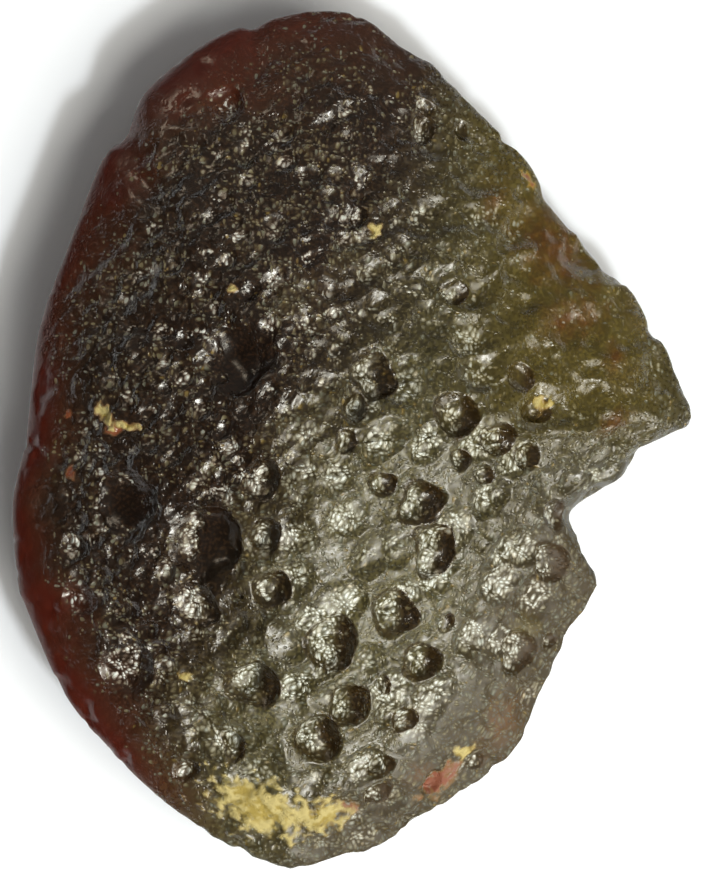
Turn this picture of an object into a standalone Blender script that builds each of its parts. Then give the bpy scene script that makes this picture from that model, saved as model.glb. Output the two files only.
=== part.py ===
"""A moldavite: one pitted drop of natural glass, lying on a small flat spot, with a chip out of its right edge.

Metres, +Z up. The origin is on the resting spot's plane, under the centre of the stone's outline.
+Y runs along the longest extent and +X towards the thin, chipped edge.
"""

import math
import random

import bmesh
import bpy
import numpy as np
from mathutils import Vector, noise

# Driving dimensions, in millimetres. The mesh is scaled to metres once, at the end.
LENGTH = 32.2
WIDTH = 25.5
THICKNESS = 8.4
MM = 0.001

# The outline seen from above, about the middle of the stone, counter-clockwise from the thin tip.
OUTLINE_BEFORE_CHIP = [
    (12.8, 1.0), (12.4, 2.0), (11.8, 3.5), (11.3, 4.0), (10.9, 5.0), (10.0, 6.1), (9.2, 6.7), (8.1, 8.1),
    (7.3, 8.9), (7.0, 9.7), (6.5, 10.5), (4.2, 12.8), (3.0, 14.1), (1.9, 14.7), (0.4, 15.8), (-1.2, 16.1),
    (-3.0, 15.8), (-3.8, 15.4), (-4.5, 15.4), (-6.0, 14.6), (-7.9, 13.0), (-8.6, 11.4), (-9.5, 10.5),
    (-10.8, 7.2), (-11.9, 4.1), (-12.4, 0.0), (-12.9, -2.4), (-12.7, -5.4), (-12.4, -6.3), (-11.1, -9.3),
    (-9.5, -11.4), (-7.1, -13.7), (-4.9, -15.2), (-2.7, -16.1), (-2.0, -16.1), (0.3, -15.6), (1.6, -14.9),
    (3.5, -13.7), (5.9, -11.9), (6.9, -10.1), (8.1, -7.4), (9.2, -5.8),
]
CHIP = [(9.3, -5.3), (8.5, -3.7), (8.2, -2.8), (9.2, -2.0), (10.2, -1.5), (10.8, -0.6)]
OUTLINE_AFTER_CHIP = [(12.0, 0.1), (12.7, 0.5)]
CURVE_STEPS = 8

# The dome. Its crest lies left of the middle, and the stone thins to a wedge on the right.
CREST = (-2.9, -0.4)
CREST_HEIGHT = THICKNESS + 0.1
BELLY_DEPTH = 0.15
RIM_HEIGHT = {"left": 3.75, "right": 2.7}
EDGE_ABOVE_RIM = 0.3
EDGE_BELOW_RIM = 1.2
EDGE_SHARPNESS = 36
TOP_ROUNDNESS = {"left": 0.5, "right": 0.6}
BELLY_ROUNDNESS = {"left": 0.9, "right": 0.8}
MEAN_RADIUS = 14.0
MEAN_HEIGHT = 4.6

# Slow swells and the flow lines of the glass, which run from lower left to upper right and die out at the rim.
SWELL_SIZE = 5.0
SWELL_HEIGHT = 0.45
FLOW_ANGLE = math.radians(38)
FLOW_LENGTH = 3.2
FLOW_WIDTH = 0.95
FLOW_HEIGHT = 0.16
RIM_BAND = 6

# The pits that stand out on the upper face: x, y, radius and depth.
MAIN_PITS = [
    (3.9, 0.8, 0.92, 0.62), (5.5, 0.0, 0.66, 0.42), (5.1, -1.4, 0.45, 0.36), (0.8, 2.4, 0.95, 0.50),
    (0.2, 1.2, 0.50, 0.42), (1.1, -1.8, 0.58, 0.40), (2.5, -2.5, 0.95, 0.45), (-0.4, 0.0, 0.52, 0.34),
    (3.1, -4.2, 1.05, 0.48), (7.5, -4.6, 0.78, 0.50), (7.7, -2.8, 0.55, 0.42), (7.1, 1.1, 0.62, 0.36),
    (3.8, 5.5, 0.60, 0.30), (6.3, 2.3, 0.52, 0.30), (4.1, -0.8, 0.52, 0.32), (-0.8, -7.7, 1.08, 0.60),
    (-0.2, -10.0, 0.85, 0.72), (-1.3, -11.2, 1.05, 0.80), (2.7, -8.4, 0.80, 0.58), (1.7, -6.5, 0.92, 0.48),
    (3.5, -6.8, 0.38, 0.26), (6.2, -8.0, 0.80, 0.50), (7.4, -7.6, 0.40, 0.26), (1.3, -9.3, 0.48, 0.32),
    (2.0, -10.5, 0.55, 0.38), (1.1, -12.2, 0.50, 0.34), (1.1, -13.3, 0.55, 0.36), (3.0, -12.9, 0.50, 0.46),
    (-3.8, -9.2, 1.05, 0.56), (-6.3, -12.4, 0.52, 0.42), (-3.2, -5.6, 0.85, 0.52), (-8.5, -8.6, 1.10, 0.36),
    (-10.4, -6.0, 0.70, 0.34), (-4.3, 3.1, 1.40, 0.66), (-5.6, -3.9, 1.45, 0.78), (-8.6, -2.5, 1.40, 0.50),
    (-3.4, -1.6, 0.80, 0.44), (-10.6, -4.1, 0.55, 0.34), (-4.8, 12.5, 0.75, 0.32), (2.7, 11.7, 0.62, 0.46),
    (4.1, 11.6, 0.34, 0.28), (2.7, 12.5, 0.36, 0.28), (0.2, 8.2, 0.36, 0.32), (-4.6, -11.5, 0.62, 0.34),
    (4.7, -12.2, 0.45, 0.26), (-6.0, -6.2, 1.00, 0.42), (-3.3, -3.6, 0.70, 0.36), (6.5, -0.6, 0.55, 0.26),
]
PIT_FLATNESS = 3.2
PIT_RAGGEDNESS = 0.32
PIT_RAGGED_SIZE = 1.1
PIT_SHARE_AT_RIM = 0.55

# Smaller pits without a place of their own, over the whole stone.
SMALL_PITS = 520
SMALL_PIT_RADIUS = (0.32, 0.95)
SMALL_PIT_DEPTH = 0.42
SMALL_PIT_JITTER = 0.75
SMALL_PIT_SEED = 11
GOLDEN_ANGLE = math.pi * (3 - math.sqrt(5))

# The flat spot that the stone rests on stays free of pits and swells.
FOOT_CLEARANCE = 0.5

CUTS_ACROSS_CUBE = 64
TRIANGLES_KEPT = 0.185

GLASS_COLOUR = (0.055, 0.042, 0.018, 1.0)


def clear_scene():
    for obj in list(bpy.data.objects):
        bpy.data.objects.remove(obj, do_unlink=True)


def new_collection(name):
    collection = bpy.data.collections.new(name)
    bpy.context.scene.collection.children.link(collection)
    return collection


def glass_material():
    """Dark olive-brown natural glass."""
    material = bpy.data.materials.new("moldavite glass")
    material.use_nodes = True
    shader = material.node_tree.nodes["Principled BSDF"]
    shader.inputs["Base Color"].default_value = GLASS_COLOUR
    shader.inputs["Roughness"].default_value = 0.22
    shader.inputs["IOR"].default_value = 1.49
    return material


def smooth_loop(points):
    """A closed Catmull-Rom curve through the points."""
    knots = np.array(points)
    before, after, beyond = (np.roll(knots, shift, axis=0) for shift in (1, -1, -2))
    steps = []
    for t in np.arange(CURVE_STEPS) / CURVE_STEPS:
        steps.append(
            0.5 * (2 * knots + (after - before) * t
                   + (2 * before - 5 * knots + 4 * after - beyond) * t ** 2
                   + (3 * knots - before - 3 * after + beyond) * t ** 3)
        )
    return np.stack(steps, axis=1).reshape(-1, 2)


def reach(points, angles):
    """How far the outline lies from the crest, in each direction."""
    curve = smooth_loop(points) - np.array(CREST)
    around = np.arctan2(curve[:, 1], curve[:, 0])
    return np.interp(angles, *sorted_pair(around, np.hypot(curve[:, 0], curve[:, 1])), period=2 * math.pi)


def sorted_pair(keys, values):
    order = np.argsort(keys)
    return keys[order], values[order]


def left_to_right(values, angles):
    """A value that changes smoothly from the thick left side to the thin right side."""
    share = 0.5 + 0.5 * np.cos(angles)
    return values["left"] + (values["right"] - values["left"]) * share


def fullness(roundness, across):
    """1 over the crest and 0 at the rim: a cone whose tip is rounded off."""
    slant = np.hypot(roundness, 1)
    return (slant - np.hypot(roundness, across)) / (slant - roundness)


def even_steps(share):
    """Turns a share of the way from crest to rim along the dome into a share of the reach."""
    turn = np.linspace(0, math.pi / 2, 200)
    speed = np.hypot(MEAN_RADIUS * np.cos(turn), MEAN_HEIGHT * np.sin(turn))
    way = np.concatenate([[0], np.cumsum((speed[1:] + speed[:-1]) / 2)])
    return np.sin(np.interp(share, way / way[-1], turn))


def height_at(across_whole, across, angles, upper):
    """Height of the smooth stone: a dome over a deeper belly, with a rounded edge between them.

    The chip cuts through the dome without bending it.
    """
    rim = left_to_right(RIM_HEIGHT, angles)
    rounding = np.sqrt(np.maximum(1 - across ** EDGE_SHARPNESS, 0))
    dome = fullness(left_to_right(TOP_ROUNDNESS, angles), across_whole)
    belly = fullness(left_to_right(BELLY_ROUNDNESS, angles), across_whole)
    over = EDGE_ABOVE_RIM + (CREST_HEIGHT - rim - EDGE_ABOVE_RIM) * dome
    under = EDGE_BELOW_RIM + (BELLY_DEPTH + rim - EDGE_BELOW_RIM) * belly
    return rim + np.where(upper, over, -under) * rounding


def smooth_stone(directions):
    """Carries points of a ball onto the stone, before its swells and pits."""
    angles = np.arctan2(directions[:, 1], directions[:, 0])
    across = even_steps(np.sqrt(np.maximum(1 - np.abs(directions[:, 2]), 0)))
    chipped = reach(OUTLINE_BEFORE_CHIP + CHIP + OUTLINE_AFTER_CHIP, angles)
    whole = np.maximum(reach(OUTLINE_BEFORE_CHIP + OUTLINE_AFTER_CHIP, angles), chipped)
    heights = height_at(across * chipped / whole, across, angles, directions[:, 2] >= 0)
    return np.column_stack([
        CREST[0] + across * chipped * np.cos(angles),
        CREST[1] + across * chipped * np.sin(angles),
        heights,
    ])


def upper_height(x, y):
    """Height of the smooth upper face over one point."""
    away = np.array([x - CREST[0], y - CREST[1]])
    angles = np.array([math.atan2(away[1], away[0])])
    whole = reach(OUTLINE_BEFORE_CHIP + OUTLINE_AFTER_CHIP, angles)
    chipped = reach(OUTLINE_BEFORE_CHIP + CHIP + OUTLINE_AFTER_CHIP, angles)
    distance = np.array([np.hypot(*away)])
    share = np.minimum(distance / np.maximum(whole, chipped), 1)
    return float(height_at(share, np.minimum(distance / chipped, 1), angles, np.array([True]))[0])


def share_of_reach(points):
    """How far out each point lies: 0 over the crest, 1 at the rim."""
    away = points[:, :2] - np.array(CREST)
    angles = np.arctan2(away[:, 1], away[:, 0])
    chipped = reach(OUTLINE_BEFORE_CHIP + CHIP + OUTLINE_AFTER_CHIP, angles)
    return np.minimum(np.hypot(away[:, 0], away[:, 1]) / chipped, 1)


def above_foot(points):
    """0 on the resting spot, rising to 1 a little higher up."""
    return np.clip(points[:, 2] / FOOT_CLEARANCE, 0, 1)


def swell(points):
    """Height of the slow swells and the flow lines at each point. They die out at the rim and the foot."""
    along = np.array([math.cos(FLOW_ANGLE), math.sin(FLOW_ANGLE), 0.0])
    across = np.array([-math.sin(FLOW_ANGLE), math.cos(FLOW_ANGLE), 0.0])
    found = np.empty(len(points))
    for index, point in enumerate(points):
        slow = noise.noise(Vector(point / SWELL_SIZE))
        flow_place = (point @ along / FLOW_LENGTH, point @ across / FLOW_WIDTH, point[2] / FLOW_LENGTH)
        found[index] = SWELL_HEIGHT * slow + FLOW_HEIGHT * noise.noise(Vector(flow_place))
    return found * (1 - share_of_reach(points) ** RIM_BAND) * above_foot(points)


def small_pits():
    """Pits spread evenly over a ball and carried onto the stone: centre, radius and depth."""
    rng = random.Random(SMALL_PIT_SEED)
    low, high = SMALL_PIT_RADIUS
    directions = []
    radii = []
    for index in range(SMALL_PITS):
        rise = 1 - 2 * (index + 0.5) / SMALL_PITS
        turn = index * GOLDEN_ANGLE
        flat = math.sqrt(1 - rise * rise)
        spread = SMALL_PIT_JITTER * math.sqrt(4 * math.pi / SMALL_PITS)
        place = Vector((flat * math.cos(turn), flat * math.sin(turn), rise))
        place += Vector([rng.uniform(-spread, spread) for _ in range(3)])
        directions.append(place.normalized())
        radii.append(low + (high - low) * rng.random() ** 2.2)
    centres = smooth_stone(np.array(directions))
    return [(centre, radius, SMALL_PIT_DEPTH * radius) for centre, radius in zip(centres, radii)]


def all_pits():
    mains = [(np.array([x, y, upper_height(x, y)]), radius, depth) for x, y, radius, depth in MAIN_PITS]
    return mains + small_pits()


def ragged(points):
    """The points, shifted a little by noise, so that what is measured from them gets an uneven edge."""
    shifts = [noise.noise_vector(Vector(point / PIT_RAGGED_SIZE)) for point in points]
    return points + PIT_RAGGEDNESS * np.array(shifts)


def pit_depth(points):
    """How deep the pits reach at each point. Where two meet, the deeper one counts, which leaves a ridge."""
    depth = np.zeros(len(points))
    shifted = ragged(points)
    for centre, radius, deepest in all_pits():
        share = np.linalg.norm(shifted - centre, axis=1) / radius
        bowl = deepest * np.maximum(1 - share ** PIT_FLATNESS, 0)
        depth = np.maximum(depth, bowl)
    at_rim = share_of_reach(points) ** RIM_BAND
    return depth * (1 - (1 - PIT_SHARE_AT_RIM) * at_rim) * above_foot(points)


def ball_mesh():
    """A cube cut into a fine grid. Its points are pushed onto a ball by the caller."""
    mesh = bpy.data.meshes.new("moldavite")
    cube = bmesh.new()
    bmesh.ops.create_cube(cube, size=2.0)
    bmesh.ops.subdivide_edges(cube, edges=cube.edges[:], cuts=CUTS_ACROSS_CUBE - 1, use_grid_fill=True)
    cube.to_mesh(mesh)
    cube.free()
    return mesh


def coordinates(mesh, name="co"):
    values = np.empty(len(mesh.vertices) * 3)
    mesh.vertices.foreach_get(name, values)
    return values.reshape(-1, 3)


def stone_mesh():
    """The whole stone in millimetres, at full detail."""
    mesh = ball_mesh()
    cube_points = coordinates(mesh)
    directions = np.tan(cube_points * math.pi / 4)
    directions /= np.linalg.norm(directions, axis=1, keepdims=True)
    points = smooth_stone(directions)
    mesh.vertices.foreach_set("co", points.ravel())
    mesh.update()
    pitted = points - coordinates(mesh, "normal") * pit_depth(points)[:, None]
    pitted[:, 2] += swell(points)
    mesh.vertices.foreach_set("co", pitted.ravel())
    mesh.update()
    return mesh


def fit_to_size(mesh):
    """Brings the mesh to the driving length, width and thickness, in metres, with its foot plane at Z = 0."""
    points = coordinates(mesh)
    low, high = points.min(axis=0), points.max(axis=0)
    middle = (low + high) / 2
    stretch = np.array([WIDTH / (high[0] - low[0]), LENGTH / (high[1] - low[1]), THICKNESS / high[2]])
    points = (points - [middle[0], middle[1], 0.0]) * stretch * MM
    mesh.vertices.foreach_set("co", points.ravel())
    mesh.update()


def add_stone(collection):
    mesh = stone_mesh()
    fit_to_size(mesh)
    stone = bpy.data.objects.new("moldavite", mesh)
    collection.objects.link(stone)
    mesh.materials.append(glass_material())
    mesh.shade_smooth()
    thinning = stone.modifiers.new("Keep the faces that the pits need", "DECIMATE")
    thinning.ratio = TRIANGLES_KEPT
    return stone


def add_ground_cutter(collection):
    """A block under Z = 0, which flattens the belly into the resting spot."""
    mesh = bpy.data.meshes.new("ground cutter")
    block = bmesh.new()
    bmesh.ops.create_cube(block, size=2 * LENGTH * MM)
    block.to_mesh(mesh)
    block.free()
    cutter = bpy.data.objects.new("ground cutter", mesh)
    cutter.location.z = -LENGTH * MM
    cutter.hide_render = True
    cutter.display_type = "WIRE"
    collection.objects.link(cutter)
    return cutter


def main():
    clear_scene()
    stone = add_stone(new_collection("moldavite"))
    flattening = stone.modifiers.new("Resting spot", "BOOLEAN")
    flattening.operation = "DIFFERENCE"
    flattening.solver = "EXACT"
    flattening.object = add_ground_cutter(new_collection("cutters"))


main()
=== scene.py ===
# %% [markdown]
# # A moldavite on a pale table
# A moldavite is a drop of natural glass. It is olive where it is thin, nearly black where it is thick,
# and its skin is etched all over with pits. This file dresses a ready CAD model of one such stone.
# It makes the light and the camera, then a fine skin in place of the coarse solid, then the glass.

# %% Open the CAD model
import math

import bpy
import numpy as np
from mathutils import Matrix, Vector, noise


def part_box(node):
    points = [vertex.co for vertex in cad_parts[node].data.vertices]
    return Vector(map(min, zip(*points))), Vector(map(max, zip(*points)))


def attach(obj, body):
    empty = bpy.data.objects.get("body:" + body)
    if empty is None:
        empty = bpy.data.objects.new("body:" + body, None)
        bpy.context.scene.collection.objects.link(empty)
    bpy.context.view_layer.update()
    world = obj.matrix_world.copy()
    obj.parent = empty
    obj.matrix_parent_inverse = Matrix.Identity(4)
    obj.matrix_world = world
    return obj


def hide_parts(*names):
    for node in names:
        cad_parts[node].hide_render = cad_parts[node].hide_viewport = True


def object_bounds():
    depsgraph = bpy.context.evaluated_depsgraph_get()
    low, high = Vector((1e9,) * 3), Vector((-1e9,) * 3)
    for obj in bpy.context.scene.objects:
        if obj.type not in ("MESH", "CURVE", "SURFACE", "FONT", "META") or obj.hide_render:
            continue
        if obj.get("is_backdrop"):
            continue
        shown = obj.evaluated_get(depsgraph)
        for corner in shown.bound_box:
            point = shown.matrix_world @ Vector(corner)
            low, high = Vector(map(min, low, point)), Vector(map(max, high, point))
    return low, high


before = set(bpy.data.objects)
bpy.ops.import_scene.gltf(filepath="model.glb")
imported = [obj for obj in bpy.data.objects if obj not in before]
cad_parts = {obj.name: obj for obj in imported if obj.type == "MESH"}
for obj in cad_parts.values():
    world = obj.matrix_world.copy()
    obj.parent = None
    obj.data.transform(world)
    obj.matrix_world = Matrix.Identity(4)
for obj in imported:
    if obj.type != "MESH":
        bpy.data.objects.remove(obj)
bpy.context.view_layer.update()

MM = 0.001

# %% [markdown]
# ## Camera
# The photo looks straight down on the stone, from far enough away that near and far parts keep the same
# size. A long lens 0.4 m above the stone does that. One pixel of the 701 by 880 photo is 0.0375 mm on
# the stone's rim, and the stone lies 2 pixels right of the photo's middle.

# %% Camera straight above the stone: pixels, then millimetres
MM_PER_PIXEL = 0.0375
PHOTO_HEIGHT = 880
STONE_RIGHT_OF_MIDDLE = 2
CAMERA_HEIGHT = 400.0
RIM_LEVEL = 3.5
SENSOR_SIZE = 36.0

camera_data = bpy.data.cameras.new("camera")
camera_data.sensor_width = SENSOR_SIZE
camera_data.lens = SENSOR_SIZE * (CAMERA_HEIGHT - RIM_LEVEL) / (PHOTO_HEIGHT * MM_PER_PIXEL)
camera_data.clip_start = 0.01
camera_data.clip_end = 10.0
camera = bpy.data.objects.new("camera", camera_data)
camera.location = (-STONE_RIGHT_OF_MIDDLE * MM_PER_PIXEL * MM, 0.0, CAMERA_HEIGHT * MM)
bpy.context.scene.collection.objects.link(camera)
bpy.context.scene.camera = camera
print("lens", round(camera_data.lens), "mm")

# %% [markdown]
# ## Table and light
# The stone lies on a plain pale table. The photo's grey sheen covers the lower right half of the stone,
# so one broad soft light stands on that side. A smaller and brighter lamp in the same direction gives the
# hard white glints, and a weak one from behind lights the upper left rim. The room is dim, and darker on
# the left than on the right, which keeps the upper left of the stone dark.

# %% Pale table
def pale_material(name, colour, roughness):
    material = bpy.data.materials.new(name)
    material.use_nodes = True
    shader = material.node_tree.nodes["Principled BSDF"]
    shader.inputs["Base Color"].default_value = (*colour, 1.0)
    shader.inputs["Roughness"].default_value = roughness
    return material


def table_top(half, level):
    mesh = bpy.data.meshes.new("table")
    corners = [(-half, -half, level), (half, -half, level), (half, half, level), (-half, half, level)]
    mesh.from_pydata(corners, [], [(0, 1, 2, 3)])
    mesh.materials.append(pale_material("pale table", TABLE_COLOUR, TABLE_ROUGHNESS))
    table = bpy.data.objects.new("table", mesh)
    bpy.context.scene.collection.objects.link(table)
    table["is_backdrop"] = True


TABLE_COLOUR = (0.72, 0.76, 0.85)
TABLE_ROUGHNESS = 0.8
TABLE_HALF_WIDTH = 2.0
GAP_UNDER_STONE = 0.03
table_top(TABLE_HALF_WIDTH, -GAP_UNDER_STONE * MM)
print("table", 2 * TABLE_HALF_WIDTH, "m wide,", GAP_UNDER_STONE, "mm under the stone")

# %% Three lights
LIGHT_DISTANCE = 0.6


def area_light(name, azimuth, elevation, size, power, colour):
    """A square light that looks at the stone. Azimuth is counted in degrees from +X towards +Y."""
    data = bpy.data.lights.new(name, "AREA")
    data.shape = "SQUARE"
    data.size = size
    data.energy = power
    data.color = colour
    light = bpy.data.objects.new(name, data)
    a, e = math.radians(azimuth), math.radians(elevation)
    direction = Vector((math.cos(a) * math.cos(e), math.sin(a) * math.cos(e), math.sin(e)))
    light.location = direction * LIGHT_DISTANCE
    light.rotation_mode = "QUATERNION"
    light.rotation_quaternion = light.location.to_track_quat("Z", "Y")
    bpy.context.scene.collection.objects.link(light)
    print(name, round(size * 1000), "mm wide,", power, "W")


area_light("soft box", azimuth=-42, elevation=50, size=0.5, power=5.4, colour=(1.0, 0.945, 0.80))
area_light("bright lamp", azimuth=-54, elevation=53, size=0.06, power=2.2, colour=(0.95, 0.97, 0.92))
area_light("lamp from behind", azimuth=130, elevation=36, size=0.1, power=0.3, colour=(1.0, 0.85, 0.65))

# %% A dim room. Its light changes from the dark to the light side between two values of X.
DARK_SIDE, LIGHT_SIDE = 0.06, 0.26
DARK_UP_TO, LIGHT_FROM = -0.9, 0.1
ROOM_COLOUR = (1.0, 0.96, 0.88, 1.0)


def dim_room():
    """A room that is darker on the left than on the right."""
    world = bpy.data.worlds.new("dim room")
    world.use_nodes = True
    tree = world.node_tree
    direction = tree.nodes.new("ShaderNodeTexCoord")
    parts = tree.nodes.new("ShaderNodeSeparateXYZ")
    across = tree.nodes.new("ShaderNodeMapRange")
    across.inputs["From Min"].default_value = DARK_UP_TO
    across.inputs["From Max"].default_value = LIGHT_FROM
    across.inputs["To Min"].default_value = DARK_SIDE
    across.inputs["To Max"].default_value = LIGHT_SIDE
    tree.links.new(direction.outputs["Generated"], parts.inputs[0])
    tree.links.new(parts.outputs["X"], across.inputs["Value"])
    tree.links.new(across.outputs[0], tree.nodes["Background"].inputs["Strength"])
    tree.nodes["Background"].inputs["Color"].default_value = ROOM_COLOUR
    return world


bpy.context.scene.world = dim_room()
bpy.context.scene.view_settings.view_transform = "Standard"
print("the room's light:", DARK_SIDE, "on the left,", LIGHT_SIDE, "on the right")

# %% [markdown]
# ## The stone's form
# The stone is a flattened drop, thick on the left and a thin wedge on the right, with a chip out of its
# edge. It could be sculpted, or scanned. Here a ball's points are carried onto the stone by a rule: how far
# out a point lies decides how high it is. The same named values made the CAD solid, so the two agree.

# %% Values of the form, in millimetres
OUTLINE_BEFORE_CHIP = [
    (12.8, 1.0), (12.4, 2.0), (11.8, 3.5), (11.3, 4.0), (10.9, 5.0), (10.0, 6.1), (9.2, 6.7), (8.1, 8.1),
    (7.3, 8.9), (7.0, 9.7), (6.5, 10.5), (4.2, 12.8), (3.0, 14.1), (1.9, 14.7), (0.4, 15.8), (-1.2, 16.1),
    (-3.0, 15.8), (-3.8, 15.4), (-4.5, 15.4), (-6.0, 14.6), (-7.9, 13.0), (-8.6, 11.4), (-9.5, 10.5),
    (-10.8, 7.2), (-11.9, 4.1), (-12.4, 0.0), (-12.9, -2.4), (-12.7, -5.4), (-12.4, -6.3), (-11.1, -9.3),
    (-9.5, -11.4), (-7.1, -13.7), (-4.9, -15.2), (-2.7, -16.1), (-2.0, -16.1), (0.3, -15.6), (1.6, -14.9),
    (3.5, -13.7), (5.9, -11.9), (6.9, -10.1), (8.1, -7.4), (9.2, -5.8),
]
CHIP = [(9.3, -5.3), (8.5, -3.7), (8.2, -2.8), (9.2, -2.0), (10.2, -1.5), (10.8, -0.6)]
OUTLINE_AFTER_CHIP = [(12.0, 0.1), (12.7, 0.5)]
CURVE_STEPS = 8
CREST = (-2.9, -0.4)
CREST_HEIGHT = 8.5
BELLY_DEPTH = 0.15
RIM_HEIGHT = {"left": 3.75, "right": 2.7}
EDGE_ABOVE_RIM = 0.3
EDGE_BELOW_RIM = 1.2
EDGE_SHARPNESS = 36
TOP_ROUNDNESS = {"left": 0.5, "right": 0.6}
BELLY_ROUNDNESS = {"left": 0.9, "right": 0.8}
RIM_BAND = 6
FOOT_CLEARANCE = 0.5
UPPER_SHARE = 0.75
TYPICAL_REACH = 14.0
TYPICAL_RISE = 5.5
SLOPE_STEPS = 200
print(len(OUTLINE_BEFORE_CHIP) + len(CHIP) + len(OUTLINE_AFTER_CHIP), "points round the outline")

# %% The outline as one smooth loop, and its reach from the crest
def smooth_loop(points):
    """A closed Catmull-Rom curve through the points."""
    knots = np.array(points)
    before, after, beyond = (np.roll(knots, shift, axis=0) for shift in (1, -1, -2))
    steps = []
    for t in np.arange(CURVE_STEPS) / CURVE_STEPS:
        steps.append(
            0.5 * (2 * knots + (after - before) * t
                   + (2 * before - 5 * knots + 4 * after - beyond) * t ** 2
                   + (3 * knots - before - 3 * after + beyond) * t ** 3)
        )
    return np.stack(steps, axis=1).reshape(-1, 2)


def reach(points, angles):
    """How far the outline lies from the crest, in each direction."""
    curve = smooth_loop(points) - np.array(CREST)
    around = np.arctan2(curve[:, 1], curve[:, 0])
    order = np.argsort(around)
    return np.interp(angles, around[order], np.hypot(*curve.T)[order], period=2 * math.pi)


WHOLE_OUTLINE = OUTLINE_BEFORE_CHIP + OUTLINE_AFTER_CHIP
CHIPPED_OUTLINE = OUTLINE_BEFORE_CHIP + CHIP + OUTLINE_AFTER_CHIP
to_sides = reach(CHIPPED_OUTLINE, np.radians([0, 90, 180, 270]))
print("from the crest to the right, top, left and bottom edge:", to_sides.round(1), "mm")

# %% Height of the dome and the belly
def left_to_right(values, angles):
    """A value that changes smoothly from the stone's left side to its right side."""
    share = 0.5 + 0.5 * np.cos(angles)
    return values["left"] + (values["right"] - values["left"]) * share


def fullness(roundness, across):
    """1 over the crest and 0 at the rim: a cone whose tip is rounded off."""
    slant = np.hypot(roundness, 1)
    return (slant - np.hypot(roundness, across)) / (slant - roundness)


def height_at(across_whole, across, angles, upper):
    """Height of the skin. Across is 0 at the crest and 1 at the edge; across_whole leaves out the chip."""
    rim = left_to_right(RIM_HEIGHT, angles)
    rounding = np.sqrt(np.maximum(1 - across ** EDGE_SHARPNESS, 0))
    dome = fullness(left_to_right(TOP_ROUNDNESS, angles), across_whole)
    belly = fullness(left_to_right(BELLY_ROUNDNESS, angles), across_whole)
    over = EDGE_ABOVE_RIM + (CREST_HEIGHT - rim - EDGE_ABOVE_RIM) * dome
    under = EDGE_BELOW_RIM + (BELLY_DEPTH + rim - EDGE_BELOW_RIM) * belly
    return rim + np.where(upper, over, -under) * rounding


def even_steps(share):
    """Turns even shares into distances from the crest that give even steps along the dome's slope."""
    turn = np.linspace(0, math.pi / 2, SLOPE_STEPS)
    speed = np.hypot(TYPICAL_REACH * np.cos(turn), TYPICAL_RISE * np.sin(turn))
    way = np.concatenate([[0], np.cumsum((speed[1:] + speed[:-1]) / 2)])
    return np.sin(np.interp(share, way / way[-1], turn))


# %% Carry a ball's points onto the stone
def smooth_stone(directions, upper_share):
    """upper_share of the points land on the upper face, which is the one that is looked at."""
    equator = 1 - 2 * upper_share
    rise = directions[:, 2] - equator
    upper = rise >= 0
    share = np.where(upper, rise / (1 - equator), -rise / (1 + equator))
    angles = np.arctan2(directions[:, 1], directions[:, 0])
    across = even_steps(np.sqrt(np.maximum(1 - share, 0)))
    chipped = reach(CHIPPED_OUTLINE, angles)
    whole = np.maximum(reach(WHOLE_OUTLINE, angles), chipped)
    heights = height_at(across * chipped / whole, across, angles, upper)
    return np.column_stack([
        CREST[0] + across * chipped * np.cos(angles),
        CREST[1] + across * chipped * np.sin(angles),
        heights,
    ])


def share_of_reach(points):
    """How far out each point lies: 0 at the crest, 1 at the edge."""
    away = points[:, :2] - np.array(CREST)
    distance = np.hypot(away[:, 0], away[:, 1])
    return np.minimum(distance / reach(CHIPPED_OUTLINE, np.arctan2(away[:, 1], away[:, 0])), 1)


# %% [markdown]
# A cube that is cut into a fine grid gives an even ball without poles. Eight simple subdivisions leave
# 393 216 squares, about 0.05 mm wide on the upper face. Later, once the pits are in, a Decimate modifier
# takes three quarters of the triangles away again, and leaves them where the skin is uneven.

# %% Make the blank stone
def coordinates(mesh, name="co"):
    """The mesh's points, or with the name normal their directions outwards."""
    values = np.empty(len(mesh.vertices) * 3)
    mesh.vertices.foreach_get(name, values)
    return values.reshape(-1, 3)


def set_coordinates(mesh, points):
    mesh.vertices.foreach_set("co", np.ascontiguousarray(points).ravel())
    mesh.update()


def plain_mesh(obj):
    """The object's mesh with its modifiers applied."""
    depsgraph = bpy.context.evaluated_depsgraph_get()
    depsgraph.update()
    return bpy.data.meshes.new_from_object(obj.evaluated_get(depsgraph))


CUBE_HALVINGS = 8
TRIANGLES_KEPT = 0.25
bpy.ops.mesh.primitive_cube_add(size=2.0)
blank = bpy.context.active_object
cutting = blank.modifiers.new("grid", "SUBSURF")
cutting.subdivision_type = "SIMPLE"
cutting.levels = CUBE_HALVINGS
cutting.render_levels = CUBE_HALVINGS
skin = plain_mesh(blank)
skin.name = "moldavite_skin"
bpy.data.objects.remove(blank)

directions = np.tan(coordinates(skin) * math.pi / 4)
directions /= np.linalg.norm(directions, axis=1, keepdims=True)
smooth = smooth_stone(directions, UPPER_SHARE)
set_coordinates(skin, smooth)
outward = coordinates(skin, "normal")
at_rim = share_of_reach(smooth) ** RIM_BAND
above_foot = np.clip(smooth[:, 2] / FOOT_CLEARANCE, 0, 1)
print(len(skin.polygons), "squares; the smooth stone spans", np.ptp(smooth, axis=0).round(1), "mm")

# %% [markdown]
# ## Swells, flow lines and the main pits
# The drop's surface swells slowly, and fine flow lines run from lower left to upper right.
# The large pits are bowls. Each was measured on the photo: its middle, its radius and its depth.
# Where two bowls meet, the deeper one counts, and that leaves a sharp ridge, as etching leaves on glass.

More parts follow.
